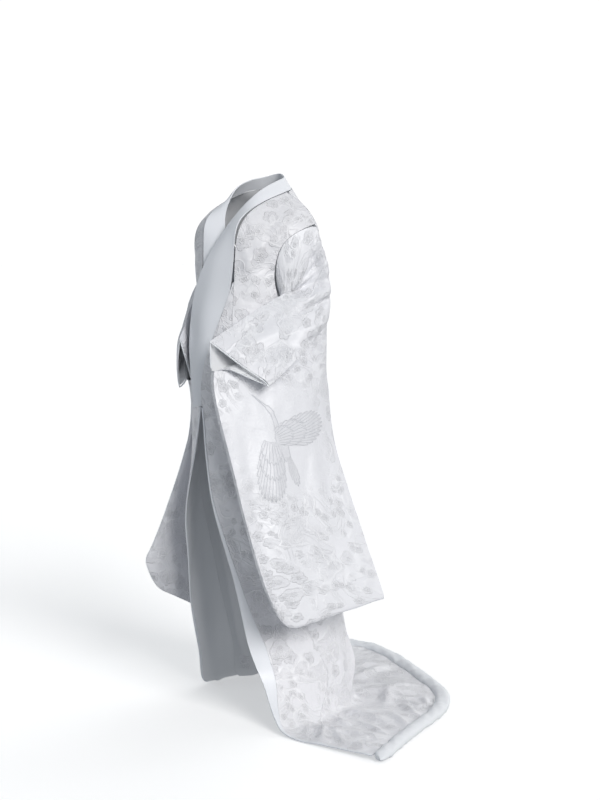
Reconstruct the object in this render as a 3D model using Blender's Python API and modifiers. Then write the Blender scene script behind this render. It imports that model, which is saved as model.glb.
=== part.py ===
"""A worn bridal kimono: the outer robe with long hanging sleeves, plain collar, trailing skirt and padded hem.

Metres, +Z up. The origin is the middle of the nape, where the robe is held up.
-Y is the way its front faces and +X is the side of its left sleeve. Heights in the tables are above the floor.
"""
import math
from collections import namedtuple

import bpy
from mathutils import Vector

OBJECT_NAME = "bridal_kimono"

# Driving sizes
NAPE_HEIGHT = 1.36
CLOTH = 0.002
COLLAR_CLOTH = 0.003
EDGING_CLOTH = 0.003
SEAM_GAP = 0.0003
REST_HEIGHT = 0.001
UNDER_LAP = 0.011
HEM_ROLL_WIDTH = 0.044
HEM_ROLL_HEIGHT = 0.025
HEM_ROLL_SIDES = 10
HEM_EDGE_RISE = 0.0105
PIPING_RADIUS = 0.0025
PIPING_STAND_OFF = 0.0042
EDGING_COLUMNS = 2
PANEL_COLUMNS = (4, 6, 8, 8, 6, 4)
ROUNDNESS = 2.2
LAYER_GAP = 0.012

# The body of the robe at eight heights: half widths, depths, and the angle of each seam from straight ahead
Section = namedtuple(
    "Section",
    "height left right front back armhole edge_left okumi_left side_left side_right okumi_right edge_right",
)
SECTIONS = (
    Section(1.12, 0.140, 0.140, 0.172, 0.150, 28, 21, 23, 90, 90, 23, 21),
    Section(1.00, 0.145, 0.145, 0.195, 0.190, 12, 8, 25, 92, 90, 27, 12),
    Section(0.88, 0.150, 0.150, 0.200, 0.182, 0, -5, 28, 95, 95, 36, 6),
    Section(0.755, 0.155, 0.155, 0.200, 0.170, 0, -3, 38, 98, 98, 52, 14),
    Section(0.56, 0.170, 0.160, 0.208, 0.180, 0, 6, 52, 104, 108, 75, 40),
    Section(0.36, 0.190, 0.168, 0.222, 0.200, 0, 27, 70, 112, 118, 92, 62),
    Section(0.20, 0.212, 0.180, 0.245, 0.225, 0, 38, 82, 118, 125, 104, 76),
    Section(0.10, 0.238, 0.195, 0.270, 0.245, 0, 48, 90, 122, 130, 112, 86),
)

# Where the skirt meets the floor and where its hem lies, at places counted round the body from the left front
# edge: 0 left edge, 1 left okumi seam, 2 left side seam, 3 centre back, 4 right side seam, 5 right okumi, 6 edge
FloorStation = namedtuple("FloorStation", "around touch_x touch_y hem_x hem_y")
FLOOR_STATIONS = (
    FloorStation(0.0, 0.285, -0.235, 0.619, -0.252),
    FloorStation(1.0, 0.280, -0.090, 0.562, -0.085),
    FloorStation(1.5, 0.262, 0.010, 0.520, 0.055),
    FloorStation(2.0, 0.232, 0.100, 0.478, 0.190),
    FloorStation(2.5, 0.175, 0.190, 0.392, 0.325),
    FloorStation(3.0, 0.090, 0.250, 0.272, 0.418),
    FloorStation(3.5, 0.000, 0.275, 0.140, 0.508),
    FloorStation(4.0, -0.090, 0.255, 0.005, 0.590),
    FloorStation(4.5, -0.150, 0.200, -0.115, 0.632),
    FloorStation(5.0, -0.190, 0.130, -0.235, 0.610),
    FloorStation(6.0, -0.215, 0.020, -0.370, 0.500),
)

# The shoulder line from the side of the neck to the top of the sleeve seam, and the back of the neck
NECK_SIDE = (0.075, 0.030, 1.345)
SHOULDER = (0.145, 0.012, 1.310)
SLEEVE_TOP = (0.188, 0.000, 1.265)
NECK_CURVE = (0.045, 0.086, 1.357)
NECK_BACK = (0.000, 0.100, 1.360)
NECK_SHARE = 0.5
NECK_SEAM_LIFT = 0.0026
COLLAR_LIFT = 0.0006

# Rows down the robe count its levels: 0 shoulder line, 1 brow of the chest, 2 to 9 the sections above, 10 floor
# contact, 11 the middle of the train, 12 the hem
HEM_ROW = 12
SHOULDER_SEAM_ROW = 0.012
ARMHOLE_ROWS = (0, 0.5, 1, 1.5, 2, 2.5, 3)
SIDE_SEAM_TOP_ROW = 4
OKUMI_TOP_ROW = 2.0
COLLAR_END_ROW = 4.65
EDGING_TOP_ROW = 4.68
ROWS = (
    *ARMHOLE_ROWS, 3.5, 4, 4.35, COLLAR_END_ROW, EDGING_TOP_ROW, 5, 5.35, 5.7, 6, 6.35, 6.7, 7, 7.35, 7.7, 8, 8.35,
    8.7, 9, 9.35, 9.7, 10, 10.4, 10.8, 11.2, 11.6, 12,
)

# The largest folds of the cloth, each a soft ridge between two places, with its half width round the body
Fold = namedtuple("Fold", "start_around start_row end_around end_row half_width height")
FOLDS = (
    Fold(0.30, 5.2, 0.95, 8.8, 0.16, 0.010),
    Fold(0.75, 5.0, 1.60, 9.2, 0.16, 0.012),
    Fold(1.75, 5.5, 2.10, 9.8, 0.14, 0.010),
    Fold(2.45, 4.6, 2.55, 9.8, 0.13, 0.011),
    Fold(2.90, 4.6, 3.05, 10.4, 0.12, 0.013),
    Fold(3.40, 4.6, 3.50, 10.2, 0.13, 0.012),
    Fold(3.95, 5.0, 4.05, 10.0, 0.14, 0.011),
    Fold(4.60, 5.4, 4.70, 10.0, 0.18, 0.012),
    Fold(5.30, 6.0, 5.40, 10.2, 0.20, 0.010),
    Fold(0.55, 9.4, 0.80, 12.0, 0.22, 0.012),
    Fold(1.70, 9.8, 1.55, 12.0, 0.16, 0.014),
    Fold(2.60, 9.8, 2.70, 11.8, 0.14, 0.013),
    Fold(3.80, 9.6, 3.75, 11.8, 0.16, 0.014),
    Fold(5.00, 9.8, 5.10, 11.8, 0.22, 0.012),
)

# The turned front edges: how wide the plain edging is at each row, left and right
EDGING_WIDTHS = ((4.0, 0.004), (6.0, 0.005), (6.8, 0.012), (7.4, 0.024), (8.0, 0.046), (8.8, 0.040), (9.6, 0.016),
                 (12.0, 0.012))
RIGHT_EDGING_WIDTH = 0.007

# The collar from its end at the front up to the back of the neck: the row of its seam, its free edge and bulge
CollarRow = namedtuple("CollarRow", "row free_x free_y free_height bulge")
COLLAR_ROWS = (
    CollarRow(4.65, -0.044, -0.205, 0.800, 0.002),
    CollarRow(4.00, -0.072, -0.188, 0.880, 0.004),
    CollarRow(3.00, -0.082, -0.178, 1.000, 0.008),
    CollarRow(2.20, -0.070, -0.167, 1.100, 0.008),
    CollarRow(1.50, -0.022, -0.166, 1.190, 0.004),
    CollarRow(1.00, 0.020, -0.124, 1.280, 0.003),
    CollarRow(0.45, 0.047, -0.055, 1.347, 0.002),
    CollarRow(0.00, 0.052, 0.018, 1.376, 0.001),
)
COLLAR_BACK_FREE = (0.000, 0.082, 1.396)

# The sleeves: rings from the armhole to the mouth, each through its upper ridge, the swell of its outer layer, the
# fold that hangs over, the cloth tucked behind the fold, the hanging bag and its bottom
SleeveRing = namedtuple("SleeveRing", "across ridge swell fold tuck hang bottom")
LEFT_SLEEVE = (
    SleeveRing(0.0, (0.188, 0.000, 1.265), (0.165, 0.075, 1.150), (0.150, 0.085, 1.040), (0.182, 0.060, 0.960),
               (0.226, 0.040, 0.700), (0.376, 0.056, 0.322)),
    SleeveRing(0.22, (0.208, -0.002, 1.200), (0.222, 0.025, 1.120), (0.224, 0.015, 1.025), (0.212, 0.010, 0.985),
               (0.232, -0.020, 0.690), (0.358, -0.016, 0.312)),
    SleeveRing(0.42, (0.192, -0.016, 1.122), (0.230, -0.010, 1.070), (0.240, -0.045, 0.990), (0.198, -0.040, 0.985),
               (0.224, -0.085, 0.680), (0.340, -0.085, 0.302)),
    SleeveRing(0.68, (0.148, -0.097, 1.082), (0.205, -0.100, 1.030), (0.240, -0.118, 0.942), (0.158, -0.130, 0.960),
               (0.206, -0.165, 0.665), (0.322, -0.155, 0.290)),
    SleeveRing(0.88, (0.105, -0.185, 1.027), (0.165, -0.170, 0.980), (0.216, -0.165, 0.895), (0.118, -0.210, 0.925),
               (0.178, -0.235, 0.650), (0.302, -0.225, 0.282)),
    SleeveRing(1.0, (0.080, -0.270, 0.978), (0.140, -0.232, 0.925), (0.200, -0.188, 0.870), (0.090, -0.268, 0.905),
               (0.166, -0.276, 0.640), (0.286, -0.272, 0.300)),
)
RIGHT_SLEEVE = (
    SleeveRing(0.0, (-0.188, 0.000, 1.265), (-0.165, 0.075, 1.150), (-0.150, 0.085, 1.040), (-0.182, 0.070, 0.960),
               (-0.215, 0.090, 0.600), (-0.262, 0.140, 0.175)),
    SleeveRing(0.22, (-0.208, -0.002, 1.200), (-0.222, 0.030, 1.120), (-0.224, 0.020, 1.020), (-0.212, 0.020, 0.975),
               (-0.224, 0.030, 0.610), (-0.266, 0.078, 0.200)),
    SleeveRing(0.42, (-0.190, -0.012, 1.118), (-0.224, -0.006, 1.062), (-0.228, -0.015, 0.985),
               (-0.204, -0.015, 0.965), (-0.218, -0.010, 0.625), (-0.270, 0.018, 0.228)),
    SleeveRing(0.68, (-0.145, -0.099, 1.054), (-0.182, -0.088, 1.010), (-0.190, -0.075, 0.935),
               (-0.174, -0.065, 0.935), (-0.208, -0.040, 0.645), (-0.275, -0.052, 0.262)),
    SleeveRing(0.88, (-0.110, -0.165, 1.005), (-0.141, -0.158, 0.955), (-0.160, -0.132, 0.880),
               (-0.146, -0.114, 0.895), (-0.200, -0.056, 0.670), (-0.279, -0.105, 0.290)),
    SleeveRing(1.0, (-0.089, -0.205, 0.975), (-0.121, -0.180, 0.912), (-0.150, -0.143, 0.843),
               (-0.125, -0.136, 0.858), (-0.194, -0.066, 0.690), (-0.282, -0.146, 0.325)),
)
SLEEVE_COLUMNS = 13
MOUTH_STEPS = 9
TUCK_STEPS = 3
LAYER_STEPS = 21
BAG_OUTWARD = {"left": (0.965, -0.262), "right": (-0.985, -0.170)}
SLEEVE_ROOM = 0.036
SLEEVE_SEAM_GAP = 0.0014
UNDERARM_GAP = 0.0080
SLEEVE_STAND_OFF = 0.012
ELBOW = 0.68
# The rounded lower corner of the bag: where it starts between armhole and mouth, its rise at the mouth, and the
# share of it that each of the last points of a layer takes
CORNER_START = 0.86
CORNER_RISE = 0.040
CORNER_SHARES = ((1, 1.0), (2, 0.45), (3, 0.15))
BOTTOM_DROP = 0.006
# The inner layer between armhole and elbow: how fast it lets go of the ridge, and where it stands off the body
RIDGE_FADE = 1.5
STAND_OFF_END = 0.65
STAND_OFF_STEPS = 5.0

# Colours and finishes
BROCADE = ("brocade", (0.80, 0.81, 0.83, 1.0), 0.55)
SATIN = ("plain_satin", (0.88, 0.89, 0.91, 1.0), 0.42)


def at_height(point):
    """A point given with its height above the floor, in the robe's frame."""
    x, y, height = point
    return Vector((x, y, height - NAPE_HEIGHT))


def mirrored(point):
    return (-point[0], point[1], point[2])


def spline(points, place):
    """A smooth curve through the points, one whole number apart."""
    last = len(points) - 1
    index = min(max(int(math.floor(place)), 0), last - 1)
    share = place - index
    before = points[max(index - 1, 0)]
    start = points[index]
    end = points[index + 1]
    after = points[min(index + 2, last)]
    steady = 2.0 * start
    slope = (end - before) * share
    bend = (2.0 * before - 5.0 * start + 4.0 * end - after) * share ** 2
    twist = (3.0 * start - before - 3.0 * end + after) * share ** 3
    return 0.5 * (steady + slope + bend + twist)


def place_in(values, wanted):
    """The place of a value in a rising list, as the spline counts it."""
    for index in range(len(values) - 1):
        if wanted <= values[index + 1]:
            return index + (wanted - values[index]) / (values[index + 1] - values[index])
    return len(values) - 1.0


def along_table(table, wanted):
    """Straight interpolation in a table of pairs."""
    keys = [row[0] for row in table]
    place = min(max(place_in(keys, wanted), 0.0), len(table) - 1.0)
    index = min(int(place), len(table) - 2)
    share = place - index
    return table[index][1] * (1.0 - share) + table[index + 1][1] * share


def eased(share):
    share = min(max(share, 0.0), 1.0)
    return share * share * (3.0 - 2.0 * share)


def seam_angle(section, around, behind):
    """The angle round the robe, in degrees from straight ahead by its left side."""
    left_side = section.side_left + (section.armhole if behind else -section.armhole)
    right_side = section.side_right + (section.armhole if behind else -section.armhole)
    stops = (
        section.edge_left,
        section.okumi_left,
        left_side,
        180.0,
        360.0 - right_side,
        360.0 - section.okumi_right,
        360.0 - section.edge_right,
    )
    index = min(max(int(around), 0), 5)
    share = around - index
    return stops[index] * (1.0 - share) + stops[index + 1] * share


def section_point(section, around, behind):
    angle = math.radians(seam_angle(section, around, behind))
    sine, cosine = math.sin(angle), math.cos(angle)
    half_width = section.left if sine >= 0.0 else section.right
    depth = section.front if cosine >= 0.0 else section.back
    power = 2.0 / ROUNDNESS
    x = half_width * math.copysign(abs(sine) ** power, sine)
    y = -depth * math.copysign(abs(cosine) ** power, cosine)
    return at_height((x, y, section.height))


def shoulder_point(around, behind):
    """The top line: shoulders for a front, shoulder and neck for a back."""
    on_left = around < 3.0 or (around == 3.0 and not behind)
    if behind:
        share = around - 2.0 if around <= 3.0 else 4.0 - around
        over_shoulder = share <= NECK_SHARE
        line = (SLEEVE_TOP, SHOULDER, NECK_SIDE) if over_shoulder else (NECK_SIDE, NECK_CURVE, NECK_BACK)
        share = share / NECK_SHARE if over_shoulder else (share - NECK_SHARE) / (1.0 - NECK_SHARE)
    else:
        share = around - 1.0 if around <= 3.0 else 5.0 - around
        share = min(max(share, 0.0), 1.0)
        line = (NECK_SIDE, SHOULDER, SLEEVE_TOP)
    points = [at_height(point if on_left else mirrored(point)) for point in line]
    return spline(points, share * (len(points) - 1))


def floor_points(around):
    """Floor contact, outer hem and the way from one to the other."""
    places = [station.around for station in FLOOR_STATIONS]
    place = place_in(places, around)
    touches = [at_height((s.touch_x, s.touch_y, REST_HEIGHT)) for s in FLOOR_STATIONS]
    hems = [at_height((s.hem_x, s.hem_y, REST_HEIGHT)) for s in FLOOR_STATIONS]
    touch = spline(touches, place)
    hem = spline(hems, place)
    return touch, hem, (hem - touch).normalized()


def bare_point(around, row, behind):
    """A point of the robe's outer face, before folds."""
    top = shoulder_point(around, behind)
    chest = section_point(SECTIONS[0], around, behind)
    brow = Vector((
        top.x + 0.6 * (chest.x - top.x),
        chest.y * 0.90,
        chest.z + 0.72 * (top.z - chest.z),
    ))
    line = [top, brow, chest]
    line += [section_point(section, around, behind) for section in SECTIONS[1:]]
    touch, hem, outward = floor_points(around)
    end = hem - outward * (HEM_ROLL_WIDTH + 2.0 * SEAM_GAP)
    end.z += HEM_EDGE_RISE
    line += [touch, touch.lerp(end, 0.5), end]
    point = spline(line, row)
    point.z = max(point.z, REST_HEIGHT - NAPE_HEIGHT)
    return point


def under_lap(around, row):
    """How far the right front lies under the left one."""
    side = eased((around - 4.0) / 1.2)
    top = eased((row - 0.2) / 1.0)
    bottom = 1.0 - eased((row - 5.2) / 1.2)
    return UNDER_LAP * side * top * bottom


def fold_height(around, row):
    height = 0.0
    for fold in FOLDS:
        share = (row - fold.start_row) / (fold.end_row - fold.start_row)
        if not 0.0 <= share <= 1.0:
            continue
        centre = fold.start_around + share * (fold.end_around - fold.start_around)
        run_out = eased(share / 0.3)
        if fold.end_row < HEM_ROW:
            run_out = min(run_out, eased((1.0 - share) / 0.2))
        height += fold.height * run_out * math.exp(-((around - centre) / fold.half_width) ** 2)
    return height


def robe_point(around, row, behind=False, lift=0.0):
    """A point of the robe's outer face with its folds, moved out by lift."""
    step = 0.02
    behind = behind and row <= SIDE_SEAM_TOP_ROW
    here = bare_point(around, row, behind)
    wide = bare_point(min(around + step, 6.0), row, behind) - bare_point(max(around - step, 0.0), row, behind)
    tall = bare_point(around, min(row + step, HEM_ROW), behind) - bare_point(around, max(row - step, 0.0), behind)
    normal = tall.cross(wide)
    outward = normal.normalized() if normal.length > 1e-12 else Vector((0.0, 0.0, 1.0))
    if outward.dot(Vector((here.x, here.y, 0.25))) < 0.0:
        outward.negate()
    raised = fold_height(around, row) * (1.0 - eased((row - 11.3) / 0.7)) - under_lap(around, row) + lift
    return here + outward * raised


def new_object(name, finish, points, faces):
    mesh = bpy.data.meshes.new(name)
    mesh.from_pydata([tuple(point) for point in points], [], faces)
    mesh.validate()
    mesh.shade_smooth()
    obj = bpy.data.objects.new(name, mesh)
    robe.objects.link(obj)
    obj.data.materials.append(finishes[finish[0]])
    return obj


def thicken(obj, thickness):
    """Gives an open surface its wall, outwards from its inner face."""
    wall = obj.modifiers.new("wall", "SOLIDIFY")
    wall.thickness = thickness
    wall.offset = 1.0
    wall.use_even_offset = False
    return obj


def grid_faces(rows, columns, closed=False):
    """Triangles of a grid of points that lists each row in turn, all split the same way."""
    faces = []
    last = columns if closed else columns - 1
    for row in range(rows - 1):
        for column in range(last):
            following = (column + 1) % columns
            a = row * columns + column
            b = row * columns + following
            faces.append((a, a + columns, b + columns))
            faces.append((a, b + columns, b))
    return faces


def sheet_from_rows(name, finish, rows, thickness):
    """A wall of cloth through equally long rows of points."""
    points = [point for row in rows for point in row]
    return thicken(new_object(name, finish, points, grid_faces(len(rows), len(rows[0]))), thickness)


def wall_between(name, finish, inner, outer):
    """A wall whose two faces come from the same seam lines, so that neighbours keep their gap all through it."""
    rows, columns = len(inner), len(inner[0])
    points = [point for row in inner for point in row] + [point for row in outer for point in row]
    under = grid_faces(rows, columns)
    count = rows * columns
    faces = [tuple(reversed(face)) for face in under]
    faces += [tuple(index + count for index in face) for face in under]
    rim = [(0, column) for column in range(columns)]
    rim += [(row, columns - 1) for row in range(1, rows)]
    rim += [(rows - 1, column) for column in range(columns - 2, -1, -1)]
    rim += [(row, 0) for row in range(rows - 2, 0, -1)]
    places = [row * columns + column for row, column in rim]
    for here, following in zip(places, places[1:] + places[:1]):
        faces.append((here, here + count, following + count, following))
    return new_object(name, finish, points, faces)


def edging_width(side, row):
    return along_table(EDGING_WIDTHS, row) if side == "left" else RIGHT_EDGING_WIDTH


def okumi_share(side, row, width):
    """How far round the okumi a width from the front edge reaches."""
    edge, seam = (0.0, 1.0) if side == "left" else (6.0, 5.0)
    whole = (robe_point(seam, row) - robe_point(edge, row)).length
    share = min(width / whole, 0.9)
    return edge + share * (seam - edge)


def seam_shift(around, other, row, behind):
    """The round-the-body step that makes the gap of a seam."""
    span = (robe_point(other, row, behind) - robe_point(around, row, behind)).length
    return 0.0 if span < 1e-6 else SEAM_GAP * (other - around) / span


def make_panel(name, start, end, rows, columns, behind=False, start_at=None):
    """A panel between two seams, with half the seam's gap left at each side."""
    inner, outer = [], []
    for row in rows:
        first = start if start_at is None else start_at(row)
        first += seam_shift(first, end, row, behind)
        final = end + seam_shift(end, first, row, behind)
        places = [first + (final - first) * column / columns for column in range(columns + 1)]
        if final < first:
            places.reverse()
        inner.append([robe_point(place, row, behind) for place in places])
        outer.append([robe_point(place, row, behind, CLOTH) for place in places])
    wall_between(name, BROCADE, inner, outer)


def make_body_panels():
    """Backs, fronts and okumi, each from its own two seams."""
    front_rows = (SHOULDER_SEAM_ROW,) + ROWS[1:]
    okumi_rows = [row for row in ROWS if row >= OKUMI_TOP_ROW]
    make_panel("back_left", 2.0, 3.0, ROWS, PANEL_COLUMNS[2], behind=True)
    make_panel("back_right", 3.0, 4.0, ROWS, PANEL_COLUMNS[3], behind=True)
    make_panel("front_left", 1.0, 2.0, front_rows, PANEL_COLUMNS[1])
    make_panel("front_right", 4.0, 5.0, front_rows, PANEL_COLUMNS[4])
    for side, edge, seam in (("left", 0.0, 1.0), ("right", 6.0, 5.0)):
        start_at = lambda row, side=side: okumi_share(side, row, inner_edge(side, row))
        make_panel("okumi_" + side, edge, seam, okumi_rows, PANEL_COLUMNS[0], start_at=start_at)


def inner_edge(side, row):
    """Where the okumi's own cloth starts: past the edging, which starts below the collar."""
    if row <= COLLAR_END_ROW:
        return SEAM_GAP
    return edging_width(side, row) + 2.0 * SEAM_GAP


def make_edgings():
    """The plain turned edge down each front, below the collar."""
    rows = [row for row in ROWS if row >= EDGING_TOP_ROW]
    for side, edge in (("left", 0.0), ("right", 6.0)):
        inner, outer = [], []
        for row in rows:
            end = okumi_share(side, row, edging_width(side, row))
            places = sorted(edge + (end - edge) * column / EDGING_COLUMNS for column in range(EDGING_COLUMNS + 1))
            inner.append([robe_point(place, row) for place in places])
            outer.append([robe_point(place, row, lift=EDGING_CLOTH) for place in places])
        wall_between("front_edging_" + side, SATIN, inner, outer)


def collar_row(entry, side):
    """Points across the collar, from its seam to its free edge."""
    left = side == "left"
    seam = robe_point(0.0 if left else 6.0, entry.row)
    free = at_height((entry.free_x, entry.free_y, entry.free_height))
    if not left:
        free.x = -free.x
        free.y += under_lap(6.0, entry.row) * 1.9
    across = (free - seam).normalized()
    seam = seam + across * SEAM_GAP * 2.0
    seam.z += NECK_SEAM_LIFT * (1.0 - eased(entry.row / 0.45))
    out = Vector((0.0, -1.0, 0.0)) if entry.row >= 1.0 else Vector((0.0, -0.6, 0.8))
    bulge = entry.bulge if left else entry.bulge * 0.45
    line = []
    for step in range(5):
        share = step / 4
        line.append(seam.lerp(free, share) + out * (bulge * 4.0 * share * (1.0 - share) + COLLAR_LIFT))
    return line


def make_collar():
    """One long band: up the left front, round the neck and down under the left front."""
    left = [collar_row(entry, "left") for entry in COLLAR_ROWS]
    right = [collar_row(entry, "right") for entry in reversed(COLLAR_ROWS)]
    back_free = at_height(COLLAR_BACK_FREE)
    neck = []
    for share in (0.35, 0.65, 1.0):
        around = 2.0 + NECK_SHARE + (1.0 - NECK_SHARE) * share
        top = robe_point(around, 0.0, True)
        upward = (top - robe_point(around, 0.1, True)).normalized()
        seam = top + upward * NECK_SEAM_LIFT
        free = at_height((COLLAR_ROWS[-1].free_x, COLLAR_ROWS[-1].free_y, COLLAR_ROWS[-1].free_height))
        turn = math.radians(90.0 * share)
        edge = Vector((
            free.x * math.cos(turn),
            free.y + (back_free.y - free.y) * math.sin(turn),
            free.z + (back_free.z - free.z) * share,
        ))
        neck.append([seam.lerp(edge, step / 4) for step in range(5)])
    other_neck = [[Vector(mirrored(point)) for point in line] for line in reversed(neck[:-1])]
    keys = left + neck + other_neck + right
    lines = []
    for step in range(2 * (len(keys) - 1) + 1):
        lines.append([spline([key[c] for key in keys], step / 2) for c in range(5)])
    lines = [list(reversed(line)) for line in lines]
    sheet_from_rows("collar", SATIN, lines, COLLAR_CLOTH)


def layer_shares():
    """How the points of a sleeve's layer are shared between its named places."""
    shares = [2.0 * step / (MOUTH_STEPS - TUCK_STEPS) for step in range(MOUTH_STEPS - TUCK_STEPS)]
    shares += [2.0 + step / TUCK_STEPS for step in range(TUCK_STEPS)]
    bag_steps = LAYER_STEPS - MOUTH_STEPS
    shares += [3.0 + 2.0 * step / bag_steps for step in range(bag_steps + 1)]
    return shares


def sleeve_layers(side, across):
    """The outer and inner layer of a sleeve at one place between armhole and mouth."""
    table = LEFT_SLEEVE if side == "left" else RIGHT_SLEEVE
    place = place_in([ring.across for ring in table], across)
    stops = [spline([at_height(ring[index]) for ring in table], place) for index in range(1, 7)]
    outward = Vector((*BAG_OUTWARD[side], 0.0)).normalized()
    outer, inner = [], []
    for index, share in enumerate(layer_shares()):
        point = spline(stops, share) if share <= 3.0 else spline(stops[2:], share - 2.0)
        outer.append(point)
        through = index / LAYER_STEPS
        if share <= 3.0:
            swell = math.sin(math.pi * min(share / 3.0, 1.0))
            straight = stops[0].lerp(stops[3], share / 3.0)
            room = SLEEVE_ROOM * swell * (1.0 - across) ** 1.3
            inner.append(straight - outward * (LAYER_GAP * share / 3.0 + room))
        else:
            room = LAYER_GAP + 0.010 * math.sin(math.pi * (share - 3.0) / 2.0) * (1.0 - abs(2.0 * across - 1.0))
            inner.append(point - outward * (room - 0.004 * through))
    return outer, inner, outward


def armhole_layer(side, behind):
    """Points of the armhole edge of a front or back, for the sleeve's seam."""
    around = 2.0 if side == "left" else 4.0
    inwards = 0.1 if behind == (side == "left") else -0.1
    points = []
    for row in ARMHOLE_ROWS:
        row = max(row, SHOULDER_SEAM_ROW)
        point = robe_point(around, row, behind)
        sideways = (point - robe_point(around + inwards, row, behind)).normalized()
        points.append(point + sideways * (SLEEVE_SEAM_GAP + UNDERARM_GAP * eased((row - 1.0) / 1.5)))
    return points


def make_sleeve(side):
    """A tube of cloth that widens into a long bag, open at the mouth and at the body."""
    rings = []
    steps = MOUTH_STEPS - TUCK_STEPS
    joined = MOUTH_STEPS + 3
    elbow_outer, elbow_inner, _ = sleeve_layers(side, ELBOW)
    for column in range(SLEEVE_COLUMNS + 1):
        across = column / SLEEVE_COLUMNS
        outer, inner, outward = sleeve_layers(side, across)
        if column == 0:
            for layer, behind in ((outer, True), (inner, False)):
                seam = armhole_layer(side, behind)
                for index in range(joined):
                    if index <= steps:
                        layer[index] = seam[index]
                    else:
                        layer[index] = seam[-1].lerp(layer[joined], (index - steps) / (joined - steps))
            front_line = list(inner)
        elif across < ELBOW:
            share = across / ELBOW
            swing = outer[0] - front_line[0].lerp(elbow_outer[0], share)
            for index in range(MOUTH_STEPS + 1):
                fade = max(0.0, 1.0 - index / steps) ** RIDGE_FADE
                rising = math.sin(math.pi * min(share / STAND_OFF_END, 1.0))
                off_body = SLEEVE_STAND_OFF * rising * min(1.0, index / STAND_OFF_STEPS) ** 2
                ruled = front_line[index].lerp(elbow_inner[index], share)
                away = (outward + Vector((0.0, 1.0, 0.0)) * (1.0 - index / MOUTH_STEPS)).normalized()
                inner[index] = ruled + swing * fade + away * off_body
            for index in range(MOUTH_STEPS + 1, joined):
                below = (index - MOUTH_STEPS) / (joined - MOUTH_STEPS)
                inner[index] = inner[MOUTH_STEPS].lerp(inner[joined], below)
        into_corner = max(0.0, (across - CORNER_START) / (1.0 - CORNER_START))
        rise = CORNER_RISE * (1.0 - math.sqrt(max(0.0, 1.0 - into_corner ** 2)))
        bottom = (outer[-1] + inner[-1]) / 2.0 - Vector((0.0, 0.0, BOTTOM_DROP - rise))
        for layer in (outer, inner):
            for back, share in CORNER_SHARES:
                layer[-back] = layer[-back] + Vector((0.0, 0.0, rise * share))
        rings.append(outer + [bottom] + list(reversed(inner[1:])))
    count = len(rings[0])
    points = [point for ring in rings for point in ring]
    faces = grid_faces(len(rings), count, closed=True)
    last = (len(rings) - 1) * count
    for index in range(MOUTH_STEPS, LAYER_STEPS):
        a, b = last + index, last + index + 1
        c, d = last + count - index - 1, last + count - index
        faces.append((b, a, d, c))
    faces.append((last + LAYER_STEPS, last + LAYER_STEPS + 2, last + LAYER_STEPS + 1))
    if side == "right":
        faces = [tuple(reversed(face)) for face in faces]
    thicken(new_object("sleeve_" + side, BROCADE, points, faces), CLOTH)
    mouth_places = list(range(MOUTH_STEPS - 1, 0, -1)) + [(count - index) % count for index in range(MOUTH_STEPS)]
    mouth = [rings[-1][place] for place in mouth_places]
    before = [rings[-2][place] for place in mouth_places]
    make_mouth_edging(side, mouth, before)


def make_mouth_edging(side, mouth, before):
    """The padded piping round a sleeve's mouth."""
    middle = sum(mouth, Vector()) / len(mouth)
    ridge = len(mouth) // 2
    fold = ridge - (MOUTH_STEPS - TUCK_STEPS)
    plane = (mouth[ridge] - mouth[fold]).cross(mouth[0] - mouth[fold]).normalized()
    if plane.dot(mouth[ridge] - before[ridge]) < 0.0:
        plane.negate()
    route = []
    for point, inner in zip(mouth, before):
        forward = (plane + (point - inner).normalized()).normalized()
        centred = (middle - point).normalized()
        route.append(point + forward * PIPING_STAND_OFF - centred * CLOTH / 2.0)
    curve = bpy.data.curves.new("sleeve_edging_" + side, "CURVE")
    curve.dimensions = "3D"
    curve.bevel_depth = PIPING_RADIUS
    curve.bevel_resolution = 1
    curve.use_fill_caps = True
    line = curve.splines.new("POLY")
    line.points.add(len(route) - 1)
    for point, place in zip(line.points, route):
        point.co = (*place, 1.0)
    obj = bpy.data.objects.new("sleeve_edging_" + side, curve)
    robe.objects.link(obj)
    curve.materials.append(finishes[SATIN[0]])


def make_hem_roll():
    """The thick padded roll that edges the hem and lies on the floor."""
    sides = HEM_ROLL_SIDES
    places = [start + column / columns for start, columns in enumerate(PANEL_COLUMNS) for column in range(columns)]
    places.append(6.0)
    stations = len(places) - 1
    points, faces = [], []
    lift = Vector((0.0, 0.0, HEM_ROLL_HEIGHT / 2.0 - REST_HEIGHT + 0.001))
    for place in places:
        touch, hem, outward = floor_points(place)
        centre = hem - outward * HEM_ROLL_WIDTH / 2.0 + lift
        for side in range(sides):
            turn = 2.0 * math.pi * side / sides
            flat = outward * math.cos(turn) * HEM_ROLL_WIDTH / 2.0
            tall = Vector((0.0, 0.0, math.sin(turn) * HEM_ROLL_HEIGHT / 2.0))
            points.append(centre + flat + tall)
    faces = grid_faces(stations + 1, sides, closed=True)
    faces.append(tuple(range(sides)))
    faces.append(tuple(reversed(range(stations * sides, (stations + 1) * sides))))
    new_object("hem_roll", SATIN, points, faces)


for old in list(bpy.data.objects):
    bpy.data.objects.remove(old, do_unlink=True)
robe = bpy.data.collections.new(OBJECT_NAME)
bpy.context.scene.collection.children.link(robe)
finishes = {}
for finish_name, colour, roughness in (BROCADE, SATIN):
    material = bpy.data.materials.new(finish_name)
    material.use_nodes = True
    shader = material.node_tree.nodes["Principled BSDF"]
    shader.inputs["Base Color"].default_value = colour
    shader.inputs["Roughness"].default_value = roughness
    shader.inputs["Metallic"].default_value = 0.0
    finishes[finish_name] = material

make_body_panels()
make_edgings()
make_collar()
make_sleeve("left")
make_sleeve("right")
make_hem_roll()
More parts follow.
